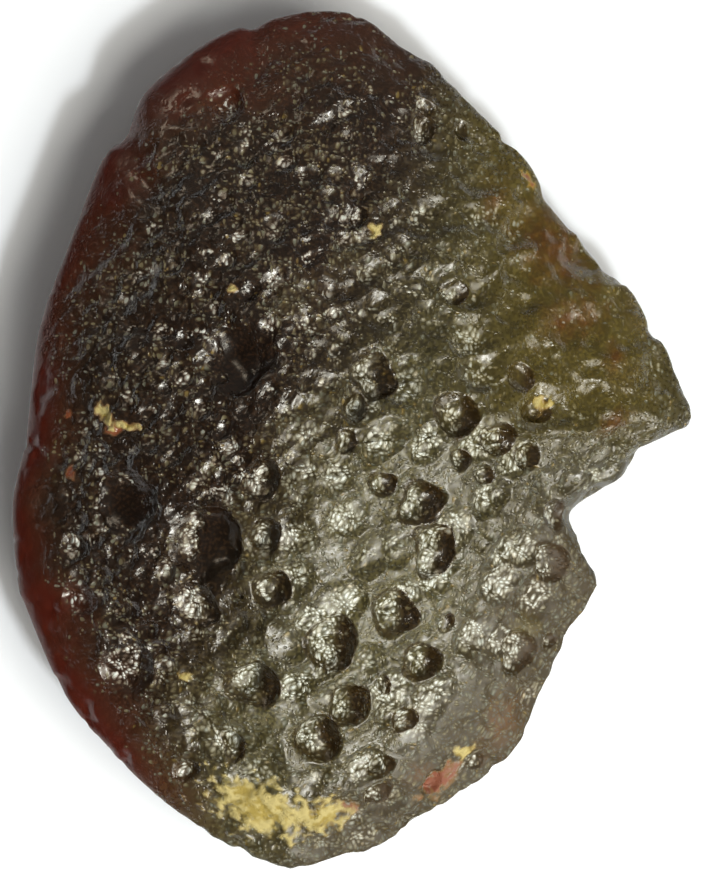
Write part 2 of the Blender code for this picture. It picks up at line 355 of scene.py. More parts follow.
# %% Values of the swells and the pits' shape
SWELL_SIZE = 5.0
SWELL_HEIGHT = 0.45
FLOW_ANGLE = math.radians(38)
FLOW_LENGTH = 3.2
FLOW_WIDTH = 0.95
FLOW_HEIGHT = 0.16
PIT_FLATNESS = 3.2
PIT_RAGGEDNESS = 0.32
PIT_RAGGED_SIZE = 1.1
PIT_SHARE_AT_RIM = 0.55

# %% The main pits: x, y, radius and depth in millimetres
MAIN_PITS = [
    (3.9, 0.8, 0.92, 0.62), (5.5, 0.0, 0.66, 0.42), (5.1, -1.4, 0.45, 0.36), (0.8, 2.4, 0.95, 0.50),
    (0.2, 1.2, 0.50, 0.42), (1.1, -1.8, 0.58, 0.40), (2.5, -2.5, 0.95, 0.45), (-0.4, 0.0, 0.52, 0.34),
    (3.1, -4.2, 1.05, 0.48), (7.5, -4.6, 0.78, 0.50), (7.7, -2.8, 0.55, 0.42), (7.1, 1.1, 0.62, 0.36),
    (3.8, 5.5, 0.60, 0.30), (6.3, 2.3, 0.52, 0.30), (4.1, -0.8, 0.52, 0.32), (-0.8, -7.7, 1.08, 0.60),
    (-0.2, -10.0, 0.85, 0.72), (-1.3, -11.2, 1.05, 0.80), (2.7, -8.4, 0.80, 0.58), (1.7, -6.5, 0.92, 0.48),
    (3.5, -6.8, 0.38, 0.26), (6.2, -8.0, 0.80, 0.50), (7.4, -7.6, 0.40, 0.26), (1.3, -9.3, 0.48, 0.32),
    (2.0, -10.5, 0.55, 0.38), (1.1, -12.2, 0.50, 0.34), (1.1, -13.3, 0.55, 0.36), (3.0, -12.9, 0.50, 0.46),
    (-3.8, -9.2, 1.05, 0.56), (-6.3, -12.4, 0.52, 0.42), (-3.2, -5.6, 0.85, 0.52), (-8.5, -8.6, 1.10, 0.36),
    (-10.4, -6.0, 0.70, 0.34), (-4.3, 3.1, 1.40, 0.66), (-5.6, -3.9, 1.45, 0.78), (-8.6, -2.5, 1.40, 0.50),
    (-3.4, -1.6, 0.80, 0.44), (-10.6, -4.1, 0.55, 0.34), (-4.8, 12.5, 0.75, 0.32), (2.7, 11.7, 0.62, 0.46),
    (4.1, 11.6, 0.34, 0.28), (2.7, 12.5, 0.36, 0.28), (0.2, 8.2, 0.36, 0.32), (-4.6, -11.5, 0.62, 0.34),
    (4.7, -12.2, 0.45, 0.26), (-6.0, -6.2, 1.00, 0.42), (-3.3, -3.6, 0.70, 0.36), (6.5, -0.6, 0.55, 0.26),
]
widest = 2 * max(radius for x, y, radius, depth in MAIN_PITS)
print(len(MAIN_PITS), "main pits, the widest", widest, "mm across")

# %% Swells and flow lines
def swell(points):
    """How far the skin rises above the smooth stone, in millimetres."""
    along = np.array([math.cos(FLOW_ANGLE), math.sin(FLOW_ANGLE), 0.0])
    across = np.array([-math.sin(FLOW_ANGLE), math.cos(FLOW_ANGLE), 0.0])
    found = np.empty(len(points))
    for index, point in enumerate(points):
        slow = noise.noise(Vector(point / SWELL_SIZE))
        flow_place = (point @ along / FLOW_LENGTH, point @ across / FLOW_WIDTH, point[2] / FLOW_LENGTH)
        found[index] = SWELL_HEIGHT * slow + FLOW_HEIGHT * noise.noise(Vector(flow_place))
    return found


rise = swell(smooth) * (1 - at_rim) * above_foot
print("swells from", rise.min().round(2), "to", rise.max().round(2), "mm")

# %% Sink the main pits
def upper_height(x, y):
    """The height of the smooth stone's upper face at one place."""
    away = np.array([x - CREST[0], y - CREST[1]])
    angles = np.array([math.atan2(away[1], away[0])])
    distance = np.array([np.hypot(*away)])
    chipped = reach(CHIPPED_OUTLINE, angles)
    whole = np.maximum(reach(WHOLE_OUTLINE, angles), chipped)
    share = np.minimum(distance / whole, 1)
    return float(height_at(share, np.minimum(distance / chipped, 1), angles, np.array([True]))[0])


def ragged(points):
    """Shifts the points a little, so that what is measured from them gets a ragged edge."""
    moved = [noise.noise_vector(Vector(point / PIT_RAGGED_SIZE)) for point in points]
    return points + PIT_RAGGEDNESS * np.array(moved)


def pit_depth(points, pits):
    """How deep the pits are, in millimetres and as a share of their own depth, and how far to their right."""
    depth = np.zeros(len(points))
    share = np.zeros(len(points))
    to_right = np.zeros(len(points))
    for centre, radius, deepest in pits:
        away = (points - centre) / radius
        bowl = np.maximum(1 - np.linalg.norm(away, axis=1) ** PIT_FLATNESS, 0)
        to_right = np.where(bowl > share, away[:, 0], to_right)
        depth = np.maximum(depth, deepest * bowl)
        share = np.maximum(share, bowl)
    return depth, share, to_right


main_pits = [(np.array([x, y, upper_height(x, y)]), radius, depth) for x, y, radius, depth in MAIN_PITS]
main_depth, depth_share, to_right_in_pit = pit_depth(ragged(smooth), main_pits)
main_depth *= (1 - (1 - PIT_SHARE_AT_RIM) * at_rim) * above_foot
print("the deepest main pit sinks", main_depth.max().round(2), "mm")

# %% [markdown]
# ## Stains, satin and dots, with painted sheen, glints and shade
# The skin isn't the same all over. It is red-brown along the left rim, olive and clear at the upper right
# and satin at the lower right, with clay and rust in a few hollows. Light and shade are painted in as well:
# a painted sheen with the satin on the side that faces the lights, painted glints in the dots and the beads,
# and painted shade on the upper left side and on the pit walls that face away from the lights.
# Such a map could be painted by hand.
# Here each is a number per point, worked out from where the point lies and from noise. The numbers are
# stored in the mesh, and the pits and the glass read them later.

# %% Helpers for the fields that say what the skin is like
def ramp(values, low, high):
    """0 up to low, 1 from high on, and straight in between."""
    return np.clip((values - low) / (high - low), 0, 1)


def lumps(points, size, stretch=1.0):
    """Noise around 0.5. Its lumps are about size across, and stretched along the flow lines."""
    turned = points @ np.array([
        [math.cos(FLOW_ANGLE), -math.sin(FLOW_ANGLE), 0.0],
        [math.sin(FLOW_ANGLE), math.cos(FLOW_ANGLE), 0.0],
        [0.0, 0.0, 1.0],
    ])
    places = turned / (size * np.array([stretch, 1.0, 1.0]))
    return 0.5 + 0.5 * np.array([noise.fractal(Vector(place), 1.0, 2.0, 2) for place in places])


def oval(points, x, y, half_length, half_width, turn=0.0):
    """1 in the middle of an oval on the upper face, 0 at its edge, below 0 outside. Turn is in degrees."""
    along = Vector((math.cos(math.radians(turn)), math.sin(math.radians(turn))))
    away_x, away_y = points[:, 0] - x, points[:, 1] - y
    u = (away_x * along.x + away_y * along.y) / half_length
    v = (away_y * along.x - away_x * along.y) / half_width
    return 1 - np.hypot(u, v)


def ovals(points, several):
    """The same for several ovals. Points of the underside, below the rim, get -1."""
    found = np.max([oval(points, *one) for one in several], axis=0)
    return np.where(points[:, 2] > RIM_HEIGHT["right"], found, -1.0)


# %% Places of the stains, the bare hollows and the frosted patches with painted sheen: x, y, half length and half width in millimetres, and turn in degrees
CLAY = [
    (-3.5, -13.9, 2.3, 1.15, -22), (-1.2, -14.2, 1.3, 0.7, 10), (-4.3, -13.2, 1.0, 0.5, -20),
    (-9.4, 0.9, 0.55, 0.3, -50), (-8.6, 0.5, 0.45, 0.22, -10), (7.2, 1.35, 0.32, 0.3, 0),
    (0.75, 7.8, 0.4, 0.28, 0), (-4.6, 5.6, 0.24, 0.2, 0), (-6.4, -8.9, 0.35, 0.2, 0),
    (4.2, -11.8, 0.5, 0.35, 20),
]
RUST = [
    (3.3, -12.9, 1.3, 0.45, 40), (6.6, 9.8, 0.5, 0.14, -50), (-10.7, -1.3, 0.3, 0.18, 70),
    (-10.8, 0.95, 0.25, 0.15, 60), (-9.0, 0.4, 0.5, 0.3, -10), (-0.2, -13.9, 0.6, 0.35, 0),
]
BROWN_GLASS = [
    (7.6, 7.2, 2.4, 1.5, -48), (8.3, 4.5, 1.6, 1.0, 20), (9.9, 0.6, 0.8, 0.5, 30), (5.4, 8.9, 0.6, 0.9, 0),
    (5.6, -10.7, 0.9, 1.5, -20), (9.9, 3.0, 0.5, 0.8, 0), (2.4, -12.6, 0.7, 0.4, 38),
]
YELLOW_GLASS = [
    (5.5, 9.9, 0.95, 0.8, 0), (6.0, 8.6, 0.85, 0.75, 0), (10.7, 4.7, 0.6, 1.4, 25),
    (10.4, 2.4, 0.9, 0.7, 30), (6.6, -7.0, 0.7, 0.5, 0),
]
BARE_HOLLOWS = [(-5.3, -4.1, 1.0, 2.0, 0), (-4.4, 3.0, 0.95, 1.6, 0), (-8.8, -2.6, 0.9, 1.0, 0)]
# Frosted patches are partly real frosted skin and partly painted sheen: they add satin and dots where the
# skin looks lighter.
FROSTED_SKIN_AND_SHEEN = [
    (-5.2, -4.5, 3.2, 3.0, 0), (-0.5, -1.5, 3.6, 2.6, 30), (-4.4, -9.4, 2.8, 2.0, -20),
    (-5.2, 12.7, 1.2, 1.0, 0), (-2.0, 0.6, 2.4, 1.2, 20), (1.0, -6.5, 3.5, 2.5, 30),
    (-1.0, 6.0, 2.2, 1.2, 40), (1.8, 2.0, 3.2, 2.0, 30),
]

# %% Where each point lies, and noise of four sizes
BROAD_SIZE, CLOUD_SIZE, NOTCH_SIZE, CRUMB_SIZE = 3.0, 1.5, 0.9, 0.3
x, y = smooth[:, 0], smooth[:, 1]
angle = np.degrees(np.arctan2(y - CREST[1], x - CREST[0])) % 360
far_out = share_of_reach(smooth)
broad = lumps(smooth, BROAD_SIZE)
cloud = lumps(smooth, CLOUD_SIZE, stretch=1.4)
notch = ramp(lumps(smooth, NOTCH_SIZE), 0.45, 0.75) * ramp(cloud, 0.4, 0.6) * at_rim
crumb = lumps(smooth, CRUMB_SIZE)
ragged_edge = 1.5 * (crumb - 0.5)
print("noise from", broad.min().round(2), "to", broad.max().round(2), "round 0.5")

# %% The brown left rim, the lower edge, the lower right half and the olive side
left_rim = ramp(far_out + 0.14 * (broad - 0.5) + 0.06 * (cloud - 0.5), 0.79, 0.96)
left_rim *= ramp(angle, 65, 95) * ramp(-angle, -268, -243)
lower_edge = ramp(far_out + 0.2 * (broad - 0.5), 0.62, 0.88) * ramp(x, -5, -1) * ramp(-y, 1, 4)
to_lower_right = ramp(x - 0.45 * y, -4, 1.5)
far_lower_right = ramp(x - 0.6 * y, 2, 9)
olive_side = ramp(x, 2.5, 6.5) * ramp(y, -1.5, 1.5) * (1 - 0.6 * ramp(x, 10.5, 12.5))
print("share of the points on the brown rim:", left_rim.mean().round(2))
print("share of the points on the olive side:", olive_side.mean().round(2))

# %% The lit pit floors with painted glints, the pits' painted shade, and the satin with its painted sheen
bare = ramp(ovals(smooth, BARE_HOLLOWS) + 0.4 * ragged_edge, 0.0, 0.3)
# The lit floor of each pit, the side that faces the lights, gets beads that are painted white as glints.
lit_pit_floor = ramp(depth_share, 0.45, 0.8) * ramp(-to_right_in_pit, -0.3, 0.0)
lit_pit_floor *= (1 - bare) * (1 - 0.85 * olive_side)
# Painted shade: the pit walls beside the lit floor get darker, most on the right side, which faces away from
# the lights.
pit_shade = ramp(depth_share, 0.02, 0.15) * (1 - lit_pit_floor)
pit_shade *= 0.5 + 0.5 * ramp(to_right_in_pit, 0.1, 0.4)
frosted_and_sheen = ramp(ovals(smooth, FROSTED_SKIN_AND_SHEEN) + 1.4 * (cloud - 0.5), 0.0, 0.6)
# The satin is partly a real etched finish and partly a painted sheen: it is strongest on the lower right
# side, which faces the lights.
satin = np.clip(0.05 + 0.78 * to_lower_right * (0.8 + 0.2 * far_lower_right) + 0.3 * frosted_and_sheen, 0, 1)
satin *= (1 - 0.8 * olive_side) * (1 - lower_edge) * (1 - left_rim)
satin *= (1 - 0.85 * bare) * (1 - 0.9 * pit_shade)
satin *= 1 - 0.4 * ramp(x, 3, 8) - 0.3 * ramp(x - 0.6 * y, 8.5, 13)
print("share of the points with satin", satin.mean().round(2))

# %% Dots, partly painted glints, and where the skin is calm
# The dots are partly grain of the etched skin and partly painted glints, thickest on the lower right side and
# on the lit pit floors.
dots = 0.4 + 0.2 * to_lower_right + 0.6 * lower_edge + 0.3 * frosted_and_sheen + 0.8 * lit_pit_floor
dots = np.clip(dots + 1.6 * (cloud - 0.5), 0, 1) * (1 - 0.75 * olive_side)
dots *= (1 - left_rim) * (1 - bare) * (1 - 0.8 * pit_shade)
plateau = to_lower_right * (1 - lit_pit_floor)
calm = np.max([left_rim, bare, 0.6 * plateau, 0.75 * olive_side], axis=0)
print("share of the points with dots", dots.mean().round(2))

# %% Clay, rust, and the brown and yellow glass
clay = ramp(ovals(smooth, CLAY) + ragged_edge, 0.0, 0.45)
rust = ramp(ovals(smooth, RUST) + ragged_edge, 0.1, 0.5)
brown_glass = ramp(ovals(smooth, BROWN_GLASS) + 0.7 * ragged_edge, -0.1, 0.9)
yellow_glass = ramp(ovals(smooth, YELLOW_GLASS) + 0.5 * ragged_edge, 0.0, 0.7)
print("points with clay:", (clay > 0.5).sum(), "and with rust:", (rust > 0.5).sum())

# %% Shape the skin, in metres, and store what the next steps read
def store(mesh, name, values, kind="FLOAT"):
    field = "vector" if kind == "FLOAT_VECTOR" else "value"
    attribute = mesh.attributes.new(name, kind, "POINT")
    attribute.data.foreach_set(field, np.ascontiguousarray(values, dtype=np.float32).ravel())


CLAY_CRUMBS = 0.22
NOTCH_DEPTH = 0.14
shaped = smooth - outward * (main_depth + NOTCH_DEPTH * notch)[:, None]
shaped[:, 2] += rise + CLAY_CRUMBS * clay * (crumb - 0.3)
set_coordinates(skin, shaped * MM)
store(skin, "outward", outward, "FLOAT_VECTOR")
etchable = (1 - 0.6 * at_rim) * (1 - 0.8 * left_rim) * (1 - 0.5 * pit_shade) * (1 - 0.8 * bare) * above_foot
fields = {
    "coarse pits": etchable * (0.25 + 0.75 * to_lower_right),
    "fine pits": etchable * (1 - 0.6 * calm),
    "satin": satin,
    "dots": dots,
    "beads": lit_pit_floor,
    "pit shade": pit_shade * to_lower_right,
    "calm": calm,
    "crumb": crumb,
    "brown rim": left_rim,
    "lower edge": lower_edge,
    # painted shade on the side away from the lights
    "dark side": (1 - to_lower_right) * (1 - olive_side),
    "olive side": olive_side,
    "brown glass": brown_glass,
    "yellow glass": yellow_glass,
    "clay": clay,
    "rust": rust,
}
for name, values in fields.items():
    store(skin, name, values)
print("stored in the mesh:", ", ".join(fields))

# %% [markdown]
# ## The etched skin
# Between the main pits the glass is etched with thousands of smaller ones. They repeat, so Geometry Nodes
# make them. A Voronoi texture scatters points in space. Every point eats a small ball out of the glass, and
# the skin cuts these balls at random heights, so the pits come in all sizes. One tree is used three times,
# from coarse to fine. It also stores how deep in a bowl each point lies, which the beads and their painted
# white glints need.

# %% Helpers for nodes
def add(tree, kind, inputs=None, **settings):
    """Adds a node, sets its properties, and fills or links its inputs."""
    made = tree.nodes.new(kind)
    for name, value in settings.items():
        setattr(made, name, value)
    for key, value in (inputs or {}).items():
        if isinstance(value, bpy.types.NodeSocket):
            tree.links.new(value, made.inputs[key])
        else:
            made.inputs[key].default_value = value
    return made


def math_node(tree, operation, *values):
    return add(tree, "ShaderNodeMath", dict(enumerate(values)), operation=operation).outputs[0]


def vector_node(tree, operation, *values):
    return add(tree, "ShaderNodeVectorMath", dict(enumerate(values)), operation=operation).outputs[0]


def scaled(tree, vector, factor):
    return add(tree, "ShaderNodeVectorMath", {0: vector, "Scale": factor}, operation="SCALE").outputs[0]


def stored(tree, name, kind="FLOAT"):
    """Reads a value that is stored in the mesh."""
    return add(tree, "GeometryNodeInputNamedAttribute", {"Name": name}, data_type=kind).outputs["Attribute"]


def socket(tree, name, kind, default=None):
    """A value that the tree asks for."""
    made = tree.interface.new_socket(name, in_out="INPUT", socket_type=kind)
    if default is not None:
        made.default_value = default


# %% The node tree that etches pits
SEED_STEP = (13.1, 7.7, 3.3)
BOWL_POWER = 1.2


def pit_cells(tree, given):
    """Coordinates that are turned along the flow, as large as the pits' spacing, and wavy."""
    place = tree.nodes.new("GeometryNodeInputPosition").outputs[0]
    turned = add(tree, "ShaderNodeVectorRotate", {"Vector": place, "Angle": math_node(
        tree, "MULTIPLY", given["Flow angle"], -1.0)}, rotation_type="Z_AXIS").outputs[0]
    grain = add(tree, "ShaderNodeCombineXYZ", {
        "X": math_node(tree, "MULTIPLY", given["Pit spacing"], given["Stretch along flow"]),
        "Y": given["Pit spacing"], "Z": given["Pit spacing"]}).outputs[0]
    cells = vector_node(tree, "DIVIDE", turned, grain)
    waves = add(tree, "ShaderNodeTexNoise", {"Vector": cells, "Scale": 0.7, "Detail": 2.0}).outputs["Color"]
    shift = scaled(tree, vector_node(tree, "SUBTRACT", waves, (0.5, 0.5, 0.5)), given["Waviness"])
    seeded = scaled(tree, SEED_STEP, given["Seed"])
    return vector_node(tree, "ADD", vector_node(tree, "ADD", cells, shift), seeded)


def etching_tree():
    tree = bpy.data.node_groups.new("etched pits", "GeometryNodeTree")
    tree.is_modifier = True
    socket(tree, "Geometry", "NodeSocketGeometry")
    socket(tree, "Pit spacing", "NodeSocketFloat", 0.001)
    socket(tree, "Pit radius", "NodeSocketFloat", 0.0006)
    socket(tree, "Pit depth", "NodeSocketFloat", 0.0002)
    socket(tree, "Stretch along flow", "NodeSocketFloat", 1.3)
    socket(tree, "Flow angle", "NodeSocketFloat", FLOW_ANGLE)
    socket(tree, "Waviness", "NodeSocketFloat", 0.35)
    socket(tree, "Seed", "NodeSocketFloat", 1.0)
    socket(tree, "Bead and glint share", "NodeSocketFloat", 0.0)
    socket(tree, "Where", "NodeSocketString", "fine pits")
    socket(tree, "Material", "NodeSocketMaterial")
    tree.interface.new_socket("Geometry", in_out="OUTPUT", socket_type="NodeSocketGeometry")

    given = tree.nodes.new("NodeGroupInput").outputs
    to_centre = add(tree, "ShaderNodeTexVoronoi", {"Vector": pit_cells(tree, given), "Scale": 1.0},
                    voronoi_dimensions="3D", feature="F1").outputs["Distance"]
    distance = math_node(tree, "MULTIPLY", to_centre, given["Pit spacing"])
    across = math_node(tree, "DIVIDE", distance, given["Pit radius"])
    bowl = math_node(tree, "SUBTRACT", 1.0, math_node(tree, "MULTIPLY", across, across))
    bowl = math_node(tree, "POWER", math_node(tree, "MAXIMUM", bowl, 0.0), BOWL_POWER)
    where = stored(tree, given["Where"])
    depth = math_node(tree, "MULTIPLY", math_node(tree, "MULTIPLY", bowl, given["Pit depth"]), where)
    offset = scaled(tree, stored(tree, "outward", "FLOAT_VECTOR"), math_node(tree, "MULTIPLY", depth, -1.0))
    etched = add(tree, "GeometryNodeSetPosition", {"Geometry": given["Geometry"], "Offset": offset})
    bowl_here = math_node(tree, "MULTIPLY", math_node(tree, "MULTIPLY", bowl, where), given["Bead and glint share"])
    marked = add(tree, "GeometryNodeStoreNamedAttribute", {
        "Geometry": etched.outputs[0], "Name": "bowl",
        "Value": math_node(tree, "MAXIMUM", stored(tree, "bowl"), bowl_here)},
        data_type="FLOAT", domain="POINT")
    realized = add(tree, "GeometryNodeRealizeInstances", {"Geometry": marked.outputs[0]})
    painted = add(tree, "GeometryNodeSetMaterial", {
        "Geometry": realized.outputs[0], "Material": given["Material"]})
    add(tree, "NodeGroupOutput", {"Geometry": painted.outputs[0]})
    return tree


# %% [markdown]
# ## The glass
# The glass is clear, and it takes in light on the way through: blue fast, green slower and red slowest.
# A tint alone would look the same on a thin and on a thick place. A Volume Absorption node takes in light
# by the way it has gone, so the thin right side comes out olive and the thick side nearly black.
# The skin is satin from the etching, with a painted sheen on the side that faces the lights, with fine light
# dots that are partly painted glints, and with beads on the floors of the pits that are painted white as
# glints.
# A Voronoi texture scatters both and gives their bumps. The underside lies on the table and only lets
# light through, so it gets a plainer glass without them, which renders faster.

# %% Small helpers for the glass
def attribute(tree, name):
    """Reads a value that is stored in the mesh."""
    return add(tree, "ShaderNodeAttribute", attribute_name=name, attribute_type="GEOMETRY").outputs["Fac"]


def spread(tree, value, low, high, to_low=0.0, to_high=1.0):
    """Maps low to to_low and high to to_high, straight in between, and no further."""
    return add(tree, "ShaderNodeMapRange", {"Value": value, "From Min": low, "From Max": high,
                                            "To Min": to_low, "To Max": to_high}).outputs[0]


def part_of(tree, value, amount):
    return math_node(tree, "MULTIPLY", value, amount)


def gather(tree, operation, values):
    """The values taken together, two at a time."""
    found = values[0]
    for value in values[1:]:
        found = math_node(tree, operation, found, value)
    return found


def largest(tree, *values):
    return gather(tree, "MAXIMUM", values)


def total(tree, *values):
    return gather(tree, "ADD", values)


def blend(tree, factor, first, second):
    """Mixes two colours."""
    made = tree.nodes.new("ShaderNodeMix")
    made.data_type = "RGBA"
    for index, value in ((0, factor), (6, first), (7, second)):
        if isinstance(value, bpy.types.NodeSocket):
            tree.links.new(value, made.inputs[index])
        else:
            made.inputs[index].default_value = value
    return made.outputs[2]


# %% Scattered points, and the dots and bowls around them, with radii in spacings
DOT_RADIUS = (0.35, 0.75)
BUMP_RADIUS = (0.3, 0.72)


def scatter(tree, place, spacing):
    """The distance to the nearest of many scattered points, in spacings, and three chances of that point."""
    cells = add(tree, "ShaderNodeTexVoronoi", {"Vector": place, "Scale": 1 / (spacing * MM)},
                feature="F1").outputs
    chances = add(tree, "ShaderNodeSeparateColor", {"Color": cells["Color"]}).outputs
    return cells["Distance"], chances


def dots_of(tree, distance, chances, density, size):
    """How much of a round soft dot covers a place. Density is the share of the points that have a dot."""
    radius = math_node(tree, "MULTIPLY", spread(tree, chances[1], 0.0, 1.0, *DOT_RADIUS), size)
    disc = spread(tree, math_node(tree, "DIVIDE", distance, radius), 1.0, 0.2)
    shown = spread(tree, math_node(tree, "SUBTRACT", density, chances[0]), -0.02, 0.06)
    return math_node(tree, "MULTIPLY", disc, shown)


def bumps_of(tree, distance, chances, height):
    """Height in millimetres of a skin where every point has a bump of its own size, or a bowl below zero."""
    radius = spread(tree, chances[1], 0.0, 1.0, *BUMP_RADIUS)
    across = math_node(tree, "DIVIDE", distance, radius)
    inside = math_node(tree, "MAXIMUM", math_node(
        tree, "SUBTRACT", 1.0, math_node(tree, "MULTIPLY", across, across)), 0.0)
    bump = math_node(tree, "MULTIPLY", inside, inside)
    return math_node(tree, "MULTIPLY", math_node(tree, "MULTIPLY", bump, radius), height)


# %% Sizes of the grain in millimetres, and the glass's own values
GRAIN_SPACING = 0.16
GRAIN_SHIFT = 0.06
GRAIN_RADIANS_PER_METRE = (9000.0, 11000.0, 10000.0)
FINE_GRAIN = 0.12
BOWL_HEIGHT = -0.035
BEAD_HEIGHT = 0.06
GLASS_IOR = 1.49
ABSORPTION_COLOUR = (0.66, 0.60, 0.05, 1)
ABSORPTION_PER_METRE = 1000.0

# %% Haze, the share of the light that doesn't go through, and roughness
CLEAR_HAZE = 0.02
RIM_HAZE = 0.13
# The satin haze also carries the painted sheen of the lights.
SATIN_AND_SHEEN_HAZE = 0.12
LOWER_EDGE_HAZE = 0.05
OLIVE_HAZE = 0.035
BROWN_HAZE = 0.04
GRAIN_HAZE = 0.04
DOT_HAZE = 0.27
# The bead haze lets the painted white glints show.
BEAD_AND_GLINT_HAZE = 0.78
RUST_HAZE = 0.9
CLEAR_ROUGHNESS = 0.25
SATIN_ROUGHNESS = 0.45
LOWER_EDGE_ROUGHNESS = 0.65
DOT_ROUGHNESS = 0.45
CLAY_ROUGHNESS = 0.8

# %% Colours of the glass, its dots and its dirt
PLAIN_TINT = (0.36, 0.30, 0.12, 1)
# The darker tint of the side away from the lights is painted shade.
SHADED_SIDE_TINT = (0.30, 0.14, 0.065, 1)
OLIVE_TINT = (0.66, 0.50, 0.08, 1)
LOWER_EDGE_TINT = (0.28, 0.17, 0.022, 1)
RIM_TINT = (0.27, 0.03, 0.008, 1)
# The satin tint also paints the sheen of the lights on the lower right side.
SATIN_AND_SHEEN_TINT = (0.35, 0.30, 0.09, 1)
# The pit shade tint paints a darker brown shade on those walls.
PIT_SHADE_TINT = (0.36, 0.18, 0.04, 1)
BROWN_TINT = (0.50, 0.20, 0.02, 1)
YELLOW_TINT = (0.66, 0.48, 0.10, 1)
# The dot colours are partly painted glints.
BEIGE_DOT = (0.40, 0.35, 0.19, 1)
GREY_DOT = (0.36, 0.38, 0.29, 1)
GOLDEN_DOT = (0.48, 0.34, 0.09, 1)
# The white bead colour is a painted glint.
WHITE_BEAD_AND_PAINTED_GLINT = (0.76, 0.83, 0.84, 1)
RUST_RED = (0.16, 0.045, 0.02, 1)
DARK_CLAY = (0.22, 0.165, 0.03, 1)
PALE_CLAY = (0.33, 0.275, 0.11, 1)

# %% Tint, stains, dots and dirt
def body_colour(tree):
    """The tint of the glass: olive or brown, darker on the side away from the lights as painted shade, and
    red-brown along the left rim.
    """
    body = blend(tree, attribute(tree, "dark side"), PLAIN_TINT, SHADED_SIDE_TINT)
    body = blend(tree, attribute(tree, "olive side"), body, OLIVE_TINT)
    body = blend(tree, attribute(tree, "lower edge"), body, LOWER_EDGE_TINT)
    return blend(tree, attribute(tree, "brown rim"), body, RIM_TINT)


def add_stains(tree, body, satin):
    """Adds the satin with its painted sheen, the painted brown shade on the pit walls, and the brown and
    yellow spots.
    """
    body = blend(tree, part_of(tree, satin, 0.8), body, SATIN_AND_SHEEN_TINT)
    body = blend(tree, part_of(tree, attribute(tree, "pit shade"), 0.8), body, PIT_SHADE_TINT)
    body = blend(tree, attribute(tree, "brown glass"), body, BROWN_TINT)
    return blend(tree, attribute(tree, "yellow glass"), body, YELLOW_TINT)


def add_dots(tree, shader, place, body, haze, rough):
    """Adds the dots, partly painted glints, the beads with their painted white glints, and the bumps. Gives
    the new colour, haze and roughness.
    """
    leaning = add(tree, "ShaderNodeMapping", {"Vector": place, "Rotation": (0.9, 0.7, 0.5),
                                              "Scale": GRAIN_RADIANS_PER_METRE}).outputs[0]
    waves = vector_node(tree, "SINE", leaning)
    shifted = vector_node(tree, "ADD", place, scaled(tree, waves, GRAIN_SHIFT * MM))
    distance, chances = scatter(tree, shifted, GRAIN_SPACING)
    chance = chances[2]
    bowl = spread(tree, attribute(tree, "bowl"), 0.3, 0.6)
    bowl = math_node(tree, "MULTIPLY", bowl, spread(tree, attribute(tree, "olive side"), 0.0, 1.0, 1.0, 0.2))
    beads = largest(tree, attribute(tree, "beads"), bowl)
    density = math_node(tree, "ADD", attribute(tree, "dots"), part_of(tree, bowl, 0.6))
    dots = dots_of(tree, distance, chances, density, spread(tree, beads, 0.0, 1.0, 1.3, 1.4))
    dot_colour = blend(tree, spread(tree, chance, 0.3, 0.75), BEIGE_DOT, GREY_DOT)
    dot_colour = blend(tree, spread(tree, chance, 0.94, 0.96), dot_colour, GOLDEN_DOT)
    dot_colour = blend(tree, part_of(tree, beads, 0.8), dot_colour, WHITE_BEAD_AND_PAINTED_GLINT)
    dot_haze = math_node(tree, "MULTIPLY", dots, spread(tree, beads, 0.0, 1.0, DOT_HAZE, BEAD_AND_GLINT_HAZE))
    height = bumps_of(tree, distance, chances, spread(tree, beads, 0.0, 1.0, BOWL_HEIGHT, BEAD_HEIGHT))
    strength = spread(tree, attribute(tree, "calm"), 0.6, 1.0, 1.0, 0.15)
    bump = add(tree, "ShaderNodeBump", {"Height": height, "Strength": strength, "Distance": MM}).outputs[0]
    tree.links.new(bump, shader.inputs["Normal"])
    colour = blend(tree, dots, body, dot_colour)
    return colour, largest(tree, haze, dot_haze), largest(tree, rough, part_of(tree, dots, DOT_ROUGHNESS))


def add_dirt(tree, colour, haze, rough):
    """Adds the rust and the clay, which lie on top of all."""
    rust = attribute(tree, "rust")
    clay = attribute(tree, "clay")
    clay_colour = blend(tree, spread(tree, attribute(tree, "crumb"), 0.4, 0.6), DARK_CLAY, PALE_CLAY)
    colour = blend(tree, rust, colour, RUST_RED)
    colour = blend(tree, clay, colour, clay_colour)
    haze = largest(tree, haze, part_of(tree, rust, RUST_HAZE), clay)
    return colour, haze, largest(tree, rough, part_of(tree, clay, CLAY_ROUGHNESS))


